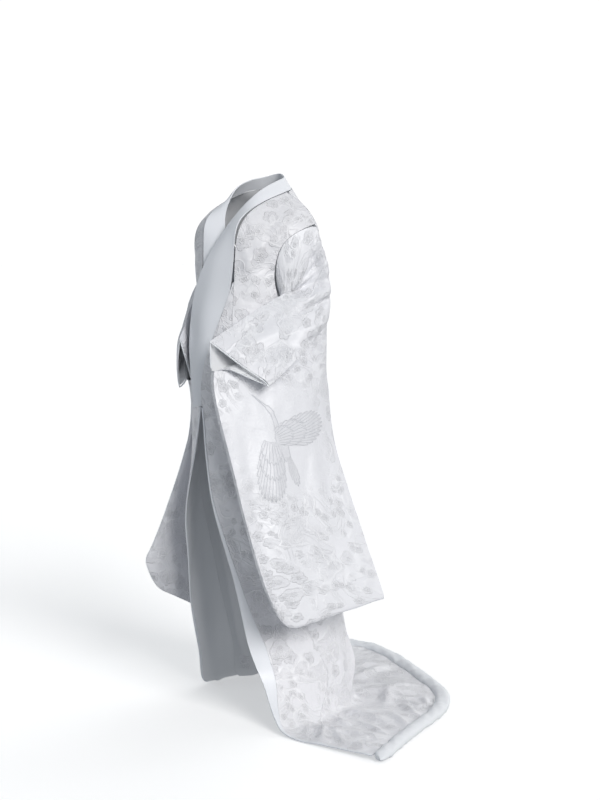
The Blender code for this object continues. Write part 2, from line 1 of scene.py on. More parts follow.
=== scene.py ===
"""The looks of the worn bridal robe: brocade panels and sleeves, satin collar and edgings, padded hem.

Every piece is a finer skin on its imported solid. Metres, +Z up, origin at the nape. Heights in the tables
are above the floor.
"""
import math
from collections import namedtuple

import bmesh
import bpy
import numpy as np
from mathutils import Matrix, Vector
from mathutils.kdtree import KDTree


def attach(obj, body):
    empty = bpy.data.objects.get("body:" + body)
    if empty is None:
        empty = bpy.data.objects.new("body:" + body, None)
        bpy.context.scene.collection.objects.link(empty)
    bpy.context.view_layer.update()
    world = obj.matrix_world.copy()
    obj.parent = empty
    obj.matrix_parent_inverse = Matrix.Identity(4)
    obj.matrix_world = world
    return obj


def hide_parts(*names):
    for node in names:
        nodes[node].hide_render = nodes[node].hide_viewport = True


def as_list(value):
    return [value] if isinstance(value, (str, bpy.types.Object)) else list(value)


NAPE_HEIGHT = 1.36
FLOOR = -NAPE_HEIGHT
REST_CLEARANCE = 0.0006
MERGE_DISTANCE = 0.00002

# The wall of cloth: faces with an edge under WALL_EDGE are its rim, and edges that bend more than RIM_ANGLE
# beside the rim, or more than FOLD_ANGLE anywhere, are kept crisp
WALL_EDGE = 0.0034
QUAD_ANGLE = math.radians(40)
QUAD_SKEW = math.radians(70)
RIM_ANGLE = math.radians(35)
FOLD_ANGLE = math.radians(72)
SMOOTH_ANGLE = math.radians(50)

# Each cloth piece: its solid and outside finish, how often its faces are halved, the width, length and
# area of what shows of its cut, how it is held, and a place on it with that place's spot on the pattern
Cut = namedtuple("Cut", "solid finish halvings width length area held rests_on place spot")
CUTS = (
    Cut("back_left", "body", 3, 0.34, 1.95, 0.45, "draped", (), (0.08, 0.17, 1.00), (0.10, 0.10)),
    Cut("back_right", "body", 3, 0.34, 1.95, 0.43, "draped", (), (-0.08, 0.17, 1.00), (0.31, 0.34)),
    Cut("front_left", "body", 3, 0.30, 1.85, 0.37, "draped", (), (0.10, -0.15, 1.00), (0.22, 0.40)),
    Cut("front_right", "body", 3, 0.30, 1.80, 0.30, "draped", (), (-0.10, -0.15, 1.00), (0.05, 0.15)),
    Cut("okumi_left", "body", 3, 0.18, 1.65, 0.22, "draped", (), (0.02, -0.20, 0.80), (0.02, 0.22)),
    Cut("okumi_right", "body", 3, 0.18, 1.60, 0.19, "draped", (), (-0.04, -0.19, 0.80), (0.27, 0.05)),
    Cut(
        "sleeve_left", "sleeve", 3, 0.68, 1.04, 0.68, "hung", ("back_left_cloth",),
        (0.212, -0.14, 0.74), (0.0, 0.0),
    ),
    Cut(
        "sleeve_right", "sleeve", 3, 0.68, 1.04, 0.52, "hung", ("back_right_cloth",),
        (-0.215, -0.04, 0.64), (0.0, 0.0),
    ),
    Cut("collar", "satin", 2, 0.075, 1.50, 0.1125, "draped", (), (0.0, -0.10, 1.30), (0.0, 0.0)),
    Cut(
        "front_edging_left", "satin", 2, 0.018, 1.25, 0.0225, "draped", (),
        (0.1, -0.20, 0.40), (0.0, 0.0),
    ),
    Cut(
        "front_edging_right", "satin", 2, 0.010, 1.10, 0.011, "draped", (),
        (-0.1, -0.10, 0.40), (0.0, 0.0),
    ),
)

# Soft creases of the robe, outwards from the body or up from the floor: the two ends of each, its half
# width and its rise, troughs below nought
ROBE_CREASES = (
    # x, y, height, x, y, height, half width, rise
    (0.150, -0.040, 1.300, 0.120, -0.100, 1.230, 0.010, 0.0055),
    (0.120, -0.100, 1.230, 0.070, -0.150, 1.140, 0.011, 0.0055),
    (0.130, -0.085, 1.200, 0.085, -0.140, 1.120, 0.010, -0.0040),
    (0.060, -0.150, 1.260, 0.120, -0.130, 1.080, 0.016, 0.0040),
    (0.110, -0.080, 1.290, 0.135, -0.110, 1.120, 0.014, -0.0035),
    (0.020, -0.200, 0.980, 0.090, -0.190, 0.900, 0.014, -0.0040),
    (0.010, -0.205, 0.860, 0.060, -0.200, 0.700, 0.018, -0.0050),
    (0.015, -0.205, 0.720, 0.080, -0.205, 0.540, 0.018, 0.0045),
    (0.040, -0.210, 0.600, 0.120, -0.200, 0.380, 0.022, -0.0050),
    (0.075, -0.225, 0.460, 0.165, -0.200, 0.240, 0.020, 0.0050),
    (0.190, -0.080, 0.420, 0.235, -0.060, 0.160, 0.020, -0.0060),
    (0.200, -0.020, 0.330, 0.250, -0.080, 0.110, 0.017, 0.0050),
    (0.150, 0.080, 0.700, 0.205, 0.110, 0.300, 0.022, -0.0050),
    (0.110, 0.150, 0.780, 0.140, 0.190, 0.350, 0.024, 0.0050),
    (0.040, 0.170, 0.800, 0.060, 0.215, 0.300, 0.024, -0.0055),
    (-0.030, 0.170, 0.760, -0.040, 0.225, 0.260, 0.020, 0.0045),
    (-0.090, 0.160, 0.800, -0.110, 0.200, 0.340, 0.023, -0.0050),
    (-0.135, 0.100, 0.740, -0.165, 0.130, 0.280, 0.020, 0.0045),
    (-0.140, 0.020, 0.700, -0.175, 0.040, 0.300, 0.020, -0.0045),
    (-0.130, -0.060, 0.640, -0.165, -0.060, 0.260, 0.018, 0.0040),
    (0.060, 0.150, 1.240, 0.010, 0.165, 1.120, 0.020, -0.0035),
    (-0.070, 0.150, 1.230, -0.015, 0.170, 1.100, 0.020, -0.0035),
    (0.100, 0.130, 1.180, 0.060, 0.180, 1.020, 0.018, 0.0035),
    (-0.105, 0.130, 1.170, -0.060, 0.180, 1.010, 0.018, 0.0035),
    (-0.060, -0.150, 1.240, -0.110, -0.140, 1.090, 0.016, -0.0035),
    (0.205, 0.248, 0.004, 0.275, 0.098, 0.004, 0.014, -0.0060),
    (0.230, 0.270, 0.004, 0.330, 0.120, 0.004, 0.014, 0.0085),
    (0.300, -0.100, 0.004, 0.400, -0.225, 0.004, 0.012, 0.0085),
    (0.330, -0.080, 0.004, 0.440, -0.170, 0.004, 0.014, -0.0050),
    (0.310, -0.160, 0.004, 0.500, -0.120, 0.004, 0.010, 0.0075),
    (0.350, -0.020, 0.004, 0.500, -0.090, 0.004, 0.009, 0.0070),
    (0.270, -0.020, 0.020, 0.350, -0.060, 0.004, 0.010, 0.0070),
    (0.265, -0.130, 0.060, 0.330, -0.195, 0.004, 0.010, 0.0070),
    (0.255, -0.060, 0.100, 0.300, -0.130, 0.012, 0.011, -0.0055),
    (0.380, -0.150, 0.004, 0.470, -0.215, 0.004, 0.010, 0.0080),
    (0.430, -0.120, 0.004, 0.530, -0.150, 0.004, 0.009, -0.0055),
    (0.400, 0.060, 0.004, 0.500, 0.000, 0.004, 0.010, 0.0080),
    (0.350, 0.170, 0.004, 0.450, 0.100, 0.004, 0.010, 0.0075),
    (0.250, 0.190, 0.004, 0.330, 0.230, 0.004, 0.010, 0.0070),
    (0.450, -0.200, 0.004, 0.560, -0.190, 0.004, 0.011, 0.0070),
    (0.360, 0.250, 0.004, 0.410, 0.200, 0.004, 0.009, 0.0065),
    (0.290, 0.030, 0.004, 0.420, 0.010, 0.004, 0.011, 0.0085),
    (0.330, 0.120, 0.004, 0.460, 0.060, 0.004, 0.013, -0.0050),
    (0.280, 0.200, 0.004, 0.410, 0.180, 0.004, 0.012, 0.0080),
    (0.200, 0.280, 0.004, 0.280, 0.340, 0.004, 0.015, 0.0065),
    (0.110, 0.330, 0.004, 0.190, 0.420, 0.004, 0.016, -0.0050),
    (0.060, 0.330, 0.004, 0.090, 0.480, 0.004, 0.018, 0.0060),
    (-0.030, 0.320, 0.004, -0.030, 0.520, 0.004, 0.016, -0.0050),
    (-0.100, 0.300, 0.004, -0.130, 0.540, 0.004, 0.019, 0.0060),
    (-0.180, 0.220, 0.004, -0.250, 0.480, 0.004, 0.018, -0.0045),
    (-0.220, 0.120, 0.004, -0.330, 0.430, 0.004, 0.019, 0.0055),
)

# Creases of the sleeves in the same columns, along the way the long bag faces
LEFT_SLEEVE_CREASES = (
    (0.214, 0.020, 1.190, 0.196, -0.040, 1.128, 0.0075, -0.0080),
    (0.226, 0.014, 1.160, 0.204, -0.050, 1.100, 0.0070, -0.0080),
    (0.205, 0.022, 1.222, 0.190, -0.030, 1.158, 0.0080, -0.0070),
    (0.232, 0.040, 1.090, 0.236, -0.035, 1.062, 0.0070, -0.0100),
    (0.188, 0.010, 1.250, 0.236, 0.022, 1.120, 0.015, 0.0070),
    (0.196, -0.030, 1.225, 0.232, -0.006, 1.135, 0.010, -0.0060),
    (0.205, 0.050, 1.200, 0.240, 0.030, 1.100, 0.012, -0.0060),
    (0.225, 0.030, 1.135, 0.172, -0.075, 1.085, 0.010, -0.0120),
    (0.240, 0.005, 1.102, 0.190, -0.090, 1.068, 0.011, 0.0080),
    (0.238, -0.010, 1.068, 0.205, -0.100, 1.040, 0.009, -0.0090),
    (0.243, 0.000, 1.030, 0.222, -0.100, 1.000, 0.010, 0.0060),
    (0.245, -0.020, 0.995, 0.228, -0.125, 0.962, 0.009, -0.0060),
    (0.185, -0.115, 1.045, 0.122, -0.200, 0.995, 0.012, -0.0065),
    (0.190, -0.140, 1.005, 0.130, -0.235, 0.955, 0.013, 0.0055),
    (0.205, -0.140, 0.965, 0.160, -0.225, 0.915, 0.012, -0.0050),
    (0.228, -0.030, 0.900, 0.290, -0.015, 0.500, 0.024, -0.0060),
    (0.222, -0.060, 0.860, 0.285, -0.060, 0.470, 0.020, 0.0055),
    (0.208, -0.120, 0.840, 0.300, -0.130, 0.380, 0.026, -0.0055),
    (0.190, -0.180, 0.800, 0.262, -0.190, 0.400, 0.024, 0.0050),
    (0.168, -0.240, 0.780, 0.240, -0.245, 0.420, 0.018, -0.0045),
    (0.300, 0.010, 0.480, 0.350, 0.020, 0.340, 0.020, 0.0050),
    (0.235, -0.035, 0.780, 0.262, -0.120, 0.560, 0.014, -0.0035),
)
RIGHT_SLEEVE_CREASES = (
    (-0.188, 0.010, 1.250, -0.236, 0.022, 1.120, 0.015, 0.0065),
    (-0.196, -0.028, 1.220, -0.230, -0.004, 1.130, 0.010, -0.0055),
    (-0.205, 0.050, 1.195, -0.238, 0.032, 1.100, 0.012, -0.0055),
    (-0.224, 0.030, 1.135, -0.174, -0.070, 1.072, 0.010, -0.0110),
    (-0.230, 0.005, 1.095, -0.184, -0.080, 1.045, 0.011, 0.0070),
    (-0.231, -0.005, 1.050, -0.190, -0.085, 1.000, 0.009, -0.0080),
    (-0.175, -0.105, 1.020, -0.128, -0.165, 0.965, 0.012, -0.0055),
    (-0.216, 0.040, 0.880, -0.255, 0.080, 0.380, 0.022, 0.0055),
    (-0.212, 0.000, 0.860, -0.265, 0.030, 0.360, 0.020, -0.0060),
    (-0.205, -0.035, 0.800, -0.270, -0.035, 0.400, 0.018, 0.0045),
    (-0.200, -0.055, 0.700, -0.275, -0.080, 0.420, 0.016, -0.0040),
)

# The way each sleeve's long bag faces, and the panels that lie beside the sleeves
SLEEVE_FACES = {"sleeve_left": (0.965, -0.262, 0.0), "sleeve_right": (-0.985, -0.170, 0.0)}
PANELS = ("back_left", "back_right", "front_left", "front_right", "okumi_left", "okumi_right")

# A crease acts on the cloth this near it, is deepened by CREASE_DEPTH, and fades off towards its two ends
CREASE_REACH = 0.030
CREASE_DEPTH = 1.25
CREASE_END = 0.04
CREASE_FADE = 0.7

# The cloth lies still this near its neighbours, and is free to move a little way beyond
NEIGHBOUR_REST = 0.004
NEIGHBOUR_EASE = 0.030

# Where the skirt meets the floor: outwards turns to upwards, troughs come to nothing, and the length of
# the pattern turns to run along the floor
TURN_START = 0.02
TURN_RANGE = 0.12
TROUGH_START = 0.005
TROUGH_RANGE = 0.030
PATTERN_TURN = 0.3

# Long soft folds all over the cloth, each set running up and down: the way across them in degrees, their
# spacing, how much they drift sideways for each metre of height, a turn, their height, and over what
# length they swell and fade
Ripple = namedtuple("Ripple", "across spacing drift turn height swell")
RIPPLES = (
    Ripple(20.0, 0.115, 2.2, 0.4, 0.0017, 0.62),
    Ripple(95.0, 0.097, -2.9, 1.9, 0.0015, 0.47),
    Ripple(150.0, 0.071, 4.4, 4.1, 0.0009, 0.33),
    Ripple(60.0, 0.048, -6.5, 2.7, 0.0005, 0.24),
)
RIPPLE_FADE = 0.45

# Small puckers of the hem roll: wavelengths in x, y and z, a turn and their height. The dents across the
# roll go by the same table
Pucker = namedtuple("Pucker", "across deep tall turn height")
PUCKERS = (
    Pucker(0.052, 0.047, 0.300, 0.8, 0.0012),
    Pucker(0.031, 0.036, 0.200, 2.2, 0.0008),
    Pucker(0.085, 0.070, 0.300, 5.0, 0.0012),
)
DENT_SPREAD = 0.45
DENT_DEPTH = 1.6
DENT_SHARPNESS = 6

# The two ends of the hem roll: the middle of each, the way into the roll, how long the pinched stretch is,
# and the share of its width left at the tip
RollEnd = namedtuple("RollEnd", "place into length tip")
HEM_ROLL_ENDS = (
    RollEnd((0.597, -0.251, 0.009), (-0.25, 0.968, 0.0), 0.034, 0.30),
    RollEnd((-0.363, 0.479, 0.009), (0.87, 0.493, 0.0), 0.034, 0.30),
)
HEM_END_ROUND = 0.009
ROLL_REACH = 0.05

# Faces whose outside looks inwards more than this are lined
INWARDS = -0.1

# The figures of the brocade, in metres on the cloth: how far apart they are, their size and their petals
Figure = namedtuple("Figure", "spacing size petals")
FLOWERS = Figure(0.052, 0.023, 5.0)
BUDS = Figure(0.030, 0.012, 5.0)
LEAVES = Figure(0.066, 0.026, 3.0)
CLOUD_SIZE = 0.085
CLOUD_LINES = 3.0
SCROLL_SIZE = 0.045
SCROLL_LINES = 2.0
LINE_WIDTH = 0.0011
SOFT_EDGE = 0.0012
CLOUD_LEVEL = 0.47
CRANE_CLEARING = 0.150
CRANE_CLEARING_EDGE = 0.030
FULL_TURN = 6.283

# How often each thing comes in a metre of cloth, and how deep the weave and the raised figures are
FLOWER_BEDS = 4.2
CLOUD_PATCHES = 7.5
BROCADE_CRUMPLES = 15.0
BROCADE_THREADS = 420.0
SATIN_TONES = 6.0
SATIN_THREADS = 500.0
BROCADE_THREAD_DEPTH = 0.0004
SATIN_THREAD_DEPTH = 0.0003
RELIEF_HEIGHT = 0.0018

# The woven crane, in metres on the cloth: strokes from one point to another with their half widths, then
# fans of feathers with their root, first and last angle, where they start and end, and how many feathers
CRANE_STROKES = (
    ((-0.002, 0.006), (0.026, -0.040), 0.017, 0.010),
    ((-0.010, 0.014), (-0.026, 0.044), 0.0090, 0.0055),
    ((-0.026, 0.044), (-0.040, 0.064), 0.0055, 0.0045),
    ((-0.040, 0.064), (-0.053, 0.073), 0.0062, 0.0054),
    ((-0.056, 0.074), (-0.100, 0.090), 0.0030, 0.0006),
)
CRANE_FANS = (
    ((-0.050, -0.030), 20.0, 58.0, 0.052, 0.205, 15),
    ((-0.048, -0.028), 18.0, 64.0, 0.050, 0.140, 12),
    ((-0.046, -0.026), 16.0, 68.0, 0.048, 0.096, 9),
    ((-0.040, 0.030), 268.0, 302.0, 0.050, 0.215, 14),
    ((-0.038, 0.028), 264.0, 308.0, 0.046, 0.150, 11),
    ((-0.036, 0.026), 260.0, 312.0, 0.042, 0.104, 8),
    ((0.010, -0.010), 292.0, 316.0, 0.030, 0.108, 6),
)
FEATHER_EDGE = 0.0015
FEATHER_SCALLOP = 0.08
FAN_TAPER = 0.42

# The studio: a floor that glows a little so that it stays white, and the camera, at nape height
STAGE_RADIUS = 30.0
SURROUND_RADIUS = 29.0
FLOOR_GAP = 0.0002
FLOOR_GLOW = 0.36
SURROUND_GLOW = 1.05
SKY_STRENGTH = 0.31
LENS = 86.2
SENSOR_WIDTH = 36.0
CAMERA_PLACE = (3.297, -3.761, 0.0)
CAMERA_AROUND = 40.0
CAMERA_DIP = 6.35


def at_height(x, y, height):
    """A place given by its height above the floor."""
    return Vector((x, y, height + FLOOR))


def choose_only(piece):
    bpy.ops.object.select_all(action="DESELECT")
    piece.select_set(True)
    bpy.context.view_layer.objects.active = piece


def copy_solid(name):
    """A piece that starts as its solid's own mesh, merged and turned back to four-sided faces."""
    solid = nodes[name]
    piece = bpy.data.objects.new(name + "_cloth", solid.data.copy())
    bpy.context.scene.collection.objects.link(piece)
    piece.data.materials.clear()
    while piece.data.uv_layers:
        piece.data.uv_layers.remove(piece.data.uv_layers[0])
    choose_only(piece)
    bpy.ops.object.mode_set(mode="EDIT")
    bpy.ops.mesh.select_all(action="SELECT")
    bpy.ops.mesh.remove_doubles(threshold=MERGE_DISTANCE)
    bpy.ops.mesh.customdata_custom_splitnormals_clear()
    bpy.ops.mesh.tris_convert_to_quads(face_threshold=QUAD_ANGLE, shape_threshold=QUAD_SKEW)
    bpy.ops.mesh.select_all(action="DESELECT")
    bpy.ops.object.mode_set(mode="OBJECT")
    return piece


def mark_walls(piece):
    """Marks the rim of a wall and its hard folds as crisp, and lays the cloth flat, cut along them."""
    choose_only(piece)
    bpy.ops.object.mode_set(mode="EDIT")
    bpy.ops.mesh.select_mode(type="EDGE")
    mesh = bmesh.from_edit_mesh(piece.data)
    rims = set(face.index for face in mesh.faces if is_rim(face))
    for edge in mesh.edges:
        sides = [face.index in rims for face in edge.link_faces]
        bend = edge.calc_face_angle(0.0)
        at_rim = len(sides) == 2 and sides[0] != sides[1] and bend > RIM_ANGLE
        edge.select = at_rim or bend > FOLD_ANGLE
    bmesh.update_edit_mesh(piece.data)
    bpy.ops.mesh.mark_seam(clear=False)
    bpy.ops.transform.edge_crease(value=1.0)
    bpy.ops.mesh.select_all(action="SELECT")
    bpy.ops.uv.unwrap(method="MINIMUM_STRETCH", iterations=20, margin=0.01)
    bpy.ops.mesh.select_all(action="DESELECT")
    bpy.ops.object.mode_set(mode="OBJECT")


def joined_faces(faces, may_cross):
    """Groups of faces joined over the edges that may be crossed."""
    left = set(faces)
    while left:
        start = left.pop()
        group, waiting = [start], [start]
        while waiting:
            for edge in waiting.pop().edges:
                if not may_cross(edge):
                    continue
                for other in edge.link_faces:
                    if other in left:
                        left.discard(other)
                        group.append(other)
                        waiting.append(other)
        yield group


def is_rim(face):
    """Whether a face is on the narrow rim of the wall."""
    return min(edge.calc_length() for edge in face.edges) < WALL_EDGE


def drawn_area(face, flat):
    """The area of a face on the flat pattern."""
    corners = [loop[flat].uv for loop in face.loops]
    twice = sum(a.x * b.y - b.x * a.y for a, b in zip(corners, corners[1:] + corners[:1]))
    return abs(twice) / 2.0


def straighten_pattern(piece, anchor, spot):
    """Gives each flat cut its real size in metres, turned height up, with the anchor at its spot."""
    mesh = bmesh.new()
    mesh.from_mesh(piece.data)
    flat = mesh.loops.layers.uv.active
    for group in joined_faces(mesh.faces, lambda edge: not edge.seam):
        loops = [loop for face in group for loop in face.loops]
        places = np.array([tuple(loop.vert.co) for loop in loops])
        page = np.array([tuple(loop[flat].uv) for loop in loops])
        real = sum(face.calc_area() for face in group)
        drawn = sum(drawn_area(face, flat) for face in group)
        scale = math.sqrt(real / max(drawn, 1e-9))
        on_floor = np.clip(1.0 - (places[:, 2] - FLOOR) / PATTERN_TURN, 0, 1)
        rising = places[:, 2] - np.hypot(places[:, 0], places[:, 1]) * on_floor
        table = np.column_stack([page, np.ones(len(page))])
        slope = np.linalg.lstsq(table, rising, rcond=None)[0]
        length = max(math.hypot(slope[0], slope[1]), 1e-9)
        up = np.array([slope[0], slope[1]]) / length
        across = np.array([up[1], -up[0]])
        turned = np.column_stack([page @ across, page @ up]) * scale
        nearest = np.argmin(((places - np.array(anchor)) ** 2).sum(axis=1))
        turned += np.array(spot) - turned[nearest]
        for loop, place in zip(loops, turned):
            loop[flat].uv = (float(place[0]), float(place[1]))
    mesh.to_mesh(piece.data)
    mesh.free()


def robe_outward(places):
    """Outwards from the body, turning upwards where the skirt lies on the floor."""
    out = np.column_stack([places[:, 0], places[:, 1], np.zeros(len(places))])
    out /= np.maximum(np.linalg.norm(out, axis=1), 1e-6)[:, None]
    height = places[:, 2] - FLOOR
    share = np.clip((height - TURN_START) / TURN_RANGE, 0.0, 1.0)
    share = (share * share * (3.0 - 2.0 * share))[:, None]
    up = np.array([[0.0, 0.0, 1.0]])
    mixed = out * share + up * (1.0 - share)
    return mixed / np.linalg.norm(mixed, axis=1)[:, None]


def crease_heights(places, outward, creases):
    """How far each place moves outwards for the creases near it, fading off at both ends of each."""
    total = np.zeros(len(places))
    for x1, y1, h1, x2, y2, h2, half_width, rise in creases:
        start = np.array([x1, y1, h1 + FLOOR])
        run = np.array([x2, y2, h2 + FLOOR]) - start
        share = np.clip((places - start) @ run / (run @ run), 0.0, 1.0)
        offset = places - (start + share[:, None] * run)
        through = (offset * outward).sum(axis=1)
        aside = np.linalg.norm(offset - through[:, None] * outward, axis=1)
        taper = np.sin(math.pi * (share * (1.0 - 2.0 * CREASE_END) + CREASE_END)) ** CREASE_FADE
        near = np.exp(-((through / CREASE_REACH) ** 2))
        total += rise * CREASE_DEPTH * taper * near * np.exp(-((aside / half_width) ** 2))
    return total


def puckered(places, puckers):
    """Soft bumps of the wadding, each set from two waves that don't fall together."""
    total = np.zeros(len(places))
    for wave in puckers:
        rightwards = places[:, 0] / wave.across + places[:, 2] / wave.tall
        backwards = places[:, 1] / wave.deep - places[:, 2] / (1.7 * wave.tall)
        first = np.sin(2.0 * math.pi * rightwards + wave.turn)
        second = np.sin(2.0 * math.pi * backwards + 2.3 * wave.turn)
        total += wave.height * first * second
    return total


def dents(places, puckers):
    """Short sharp creases across a wadded roll, where its silk is drawn in."""
    total = np.zeros(len(places))
    around = np.arctan2(places[:, 1], places[:, 0])
    for wave in puckers:
        uneven = wave.turn + 1.3 * np.sin(3.0 * around + wave.turn)
        beat = np.sin(2.0 * math.pi * around * DENT_SPREAD / wave.across + uneven)
        total += DENT_DEPTH * wave.height * np.clip(beat, 0.0, 1.0) ** DENT_SHARPNESS
    return total


def pinch_ends(places, ends):
    """Draws a roll in towards its two ends."""
    for end in ends:
        middle = np.array(at_height(*end.place))
        into = np.array(end.into)
        depth = (places - middle) @ into
        aside = places - middle - depth[:, None] * into
        near = (depth < end.length) & (np.linalg.norm(aside, axis=1) < ROLL_REACH)
        left = 1.0 - np.clip(depth / end.length, 0.0, 1.0)
        share = end.tip + (1.0 - end.tip) * np.sqrt(1.0 - left ** 2)
        places = places - aside * np.where(near, 1.0 - share, 0.0)[:, None]
    return places


def long_ripples(places):
    """Shallow folds that run down the cloth and come and go on their way."""
    total = np.zeros(len(places))
    for ripple in RIPPLES:
        angle = math.radians(ripple.across)
        aside = places[:, 0] * math.cos(angle) + places[:, 1] * math.sin(angle)
        phase = 2.0 * math.pi * aside / ripple.spacing + ripple.drift * places[:, 2] + ripple.turn
        swell = np.sin(2.0 * math.pi * (places[:, 2] + aside) / ripple.swell + 1.7 * ripple.turn)
        total += ripple.height * np.sin(phase) * (1.0 - RIPPLE_FADE + RIPPLE_FADE * swell)
    return total


def round_ends(piece, width):
    """Softens the flat ends of a roll."""
    choose_only(piece)
    bpy.ops.object.mode_set(mode="EDIT")
    bpy.ops.mesh.select_mode(type="EDGE")
    mesh = bmesh.from_edit_mesh(piece.data)
    for edge in mesh.edges:
        edge.select = edge.calc_face_angle(0.0) > FOLD_ANGLE
    bmesh.update_edit_mesh(piece.data)
    bpy.ops.mesh.bevel(offset=width, segments=3, affect="EDGES", clamp_overlap=True)
    bpy.ops.mesh.select_all(action="DESELECT")
    bpy.ops.object.mode_set(mode="OBJECT")


def read_places(piece):
    flat = np.empty(len(piece.data.vertices) * 3)
    piece.data.vertices.foreach_get("co", flat)
    return flat.reshape(-1, 3)


def write_places(piece, places):
    """Moves the piece's vertices, none of them into the floor."""
    places[:, 2] = np.maximum(places[:, 2], FLOOR + REST_CLEARANCE)
    piece.data.vertices.foreach_set("co", places.ravel())
    piece.data.update()


def room_from(places, neighbours):
    """Nought beside the neighbouring solids, rising to one a little way off, so that they stay clear."""
    points = [vertex.co for name in neighbours for vertex in nodes[name].data.vertices]
    tree = KDTree(len(points))
    for index, point in enumerate(points):
        tree.insert(point, index)
    tree.balance()
    away = np.array([tree.find(place)[2] for place in places])
    return np.clip((away - NEIGHBOUR_REST) / NEIGHBOUR_EASE, 0.0, 1.0)


def crease_cloth(piece, name):
    """Moves both faces of the wall alike, so that it keeps its thickness."""
    places = read_places(piece)
    if name in SLEEVE_FACES:
        outward = np.tile(np.array(SLEEVE_FACES[name]), (len(places), 1))
        creases = LEFT_SLEEVE_CREASES if name == "sleeve_left" else RIGHT_SLEEVE_CREASES
    else:
        outward = robe_outward(places)
        creases = ROBE_CREASES
    neighbours = PANELS if name in SLEEVE_FACES else tuple(SLEEVE_FACES)
    room = room_from(places, neighbours)
    moved = crease_heights(places, outward, creases) + long_ripples(places)
    room_below = np.clip((places[:, 2] - FLOOR - TROUGH_START) / TROUGH_RANGE, 0.0, 1.0)
    moved = np.where(moved < 0.0, moved * room_below, moved)
    write_places(piece, places + outward * (moved * room)[:, None])


def subdivide(piece, halvings):
    choose_only(piece)
    finer = piece.modifiers.new("finer", "SUBSURF")
    finer.levels = halvings
    finer.render_levels = halvings
    finer.use_limit_surface = False
    bpy.ops.object.modifier_apply(modifier=finer.name)
    bpy.ops.object.shade_smooth_by_angle(angle=SMOOTH_ANGLE)


def line_inside(piece, name):
    """Faces that look inwards take the plain lining."""
    mesh = bmesh.new()
    mesh.from_mesh(piece.data)
    mesh.faces.ensure_lookup_table()
    if name in SLEEVE_FACES:
        skins = joined_faces([face for face in mesh.faces if not is_rim(face)], lambda edge: True)
        by_size = sorted(skins, key=lambda skin: sum(face.calc_area() for face in skin))
        inner = set(face.index for face in by_size[-2]) if len(by_size) > 1 else set()
    else:
        middles = np.array([tuple(face.calc_center_median()) for face in mesh.faces])
        outward = robe_outward(middles)
        normals = np.array([tuple(face.normal) for face in mesh.faces])
        facing = (normals * outward).sum(axis=1)
        inner = set(np.nonzero(facing < INWARDS)[0].tolist())
    for face in mesh.faces:
        face.material_index = 1 if face.index in inner else 0
    mesh.to_mesh(piece.data)
    mesh.free()


class Value:
    """A shader socket whose arithmetic adds Math nodes."""

    def __init__(self, finish, socket):
        self.finish = finish
        self.socket = socket

    def maths(self, operation, *others):
        sockets = dict(enumerate((self,) + others))
        return self.finish.add("ShaderNodeMath", {"operation": operation}, sockets)

    def __add__(self, other):
        return self.maths("ADD", other)

    def __sub__(self, other):
        return self.maths("SUBTRACT", other)

    def __rsub__(self, other):
        return self.finish.add("ShaderNodeMath", {"operation": "SUBTRACT"}, {0: other, 1: self})

    def __mul__(self, other):
        return self.maths("MULTIPLY", other)

    def __truediv__(self, other):
        return self.maths("DIVIDE", other)

    def __pow__(self, other):
        return self.maths("POWER", other)

    def __abs__(self):
        return self.maths("ABSOLUTE")

    __radd__ = __add__
    __rmul__ = __mul__

    def most(self, other):
        return self.maths("MAXIMUM", other)

    def least(self, other):
        return self.maths("MINIMUM", other)

    def under(self, edge, softness):
        """One where the value is below the edge, nought above, with a soft change."""
        settings = {"interpolation_type": "SMOOTHSTEP"}
        if isinstance(edge, Value):
            return (self - edge).under(0.0, softness)
        sockets = {0: self, 1: edge + softness, 2: edge - softness, 3: 0.0, 4: 1.0}
        return self.finish.add("ShaderNodeMapRange", settings, sockets)


class Finish:
    """A material for one cloth of the robe."""

    def __init__(self, name, roughness, sheen):
        self.material = bpy.data.materials.new(name)
        self.material.use_nodes = True
        self.tree = self.material.node_tree
        self.shader = self.tree.nodes["Principled BSDF"]
        self.shader.inputs["Roughness"].default_value = roughness
        self.shader.inputs["Sheen Weight"].default_value = sheen
        self.shader.inputs["Sheen Roughness"].default_value = 0.4

    def add(self, kind, settings=None, sockets=None, output=0):
        node = self.tree.nodes.new(kind)
        for key, value in (settings or {}).items():
            setattr(node, key, value)
        for key, value in (sockets or {}).items():
            self.join(value, node.inputs[key])
        return Value(self, node.outputs[output])

    def join(self, value, socket):
        if isinstance(value, Value):
            self.tree.links.new(value.socket, socket)
        else:
            socket.default_value = value

    def other_output(self, value, output):
        return Value(self, value.socket.node.outputs[output])

    def pattern_place(self):
        """The place on the flat cloth, in metres."""
        return self.add("ShaderNodeTexCoord", output="UV")

    def parts(self, vector):
        first = self.add("ShaderNodeSeparateXYZ", {}, {0: vector})
        return first, self.other_output(first, 1)

    def scaled(self, vector, factor):
        return self.add("ShaderNodeVectorMath", {"operation": "SCALE"}, {0: vector, "Scale": factor})

    def less(self, vector, other):
        return self.add("ShaderNodeVectorMath", {"operation": "SUBTRACT"}, {0: vector, 1: other})

    def noise(self, vector, scale, detail):
        return self.add("ShaderNodeTexNoise", {}, {"Vector": vector, "Scale": scale, "Detail": detail})

    def mixed(self, share, first, second):
        """A colour between two colours."""
        settings = {"data_type": "RGBA", "clamp_factor": True}
        return self.add("ShaderNodeMix", settings, {0: share, 6: first, 7: second}, output=2)

    def bumped(self, height, distance, strength, under=None):
        sockets = {"Height": height, "Distance": distance, "Strength": strength}
        if under is not None:
            sockets["Normal"] = under
        return self.add("ShaderNodeBump", {}, sockets)


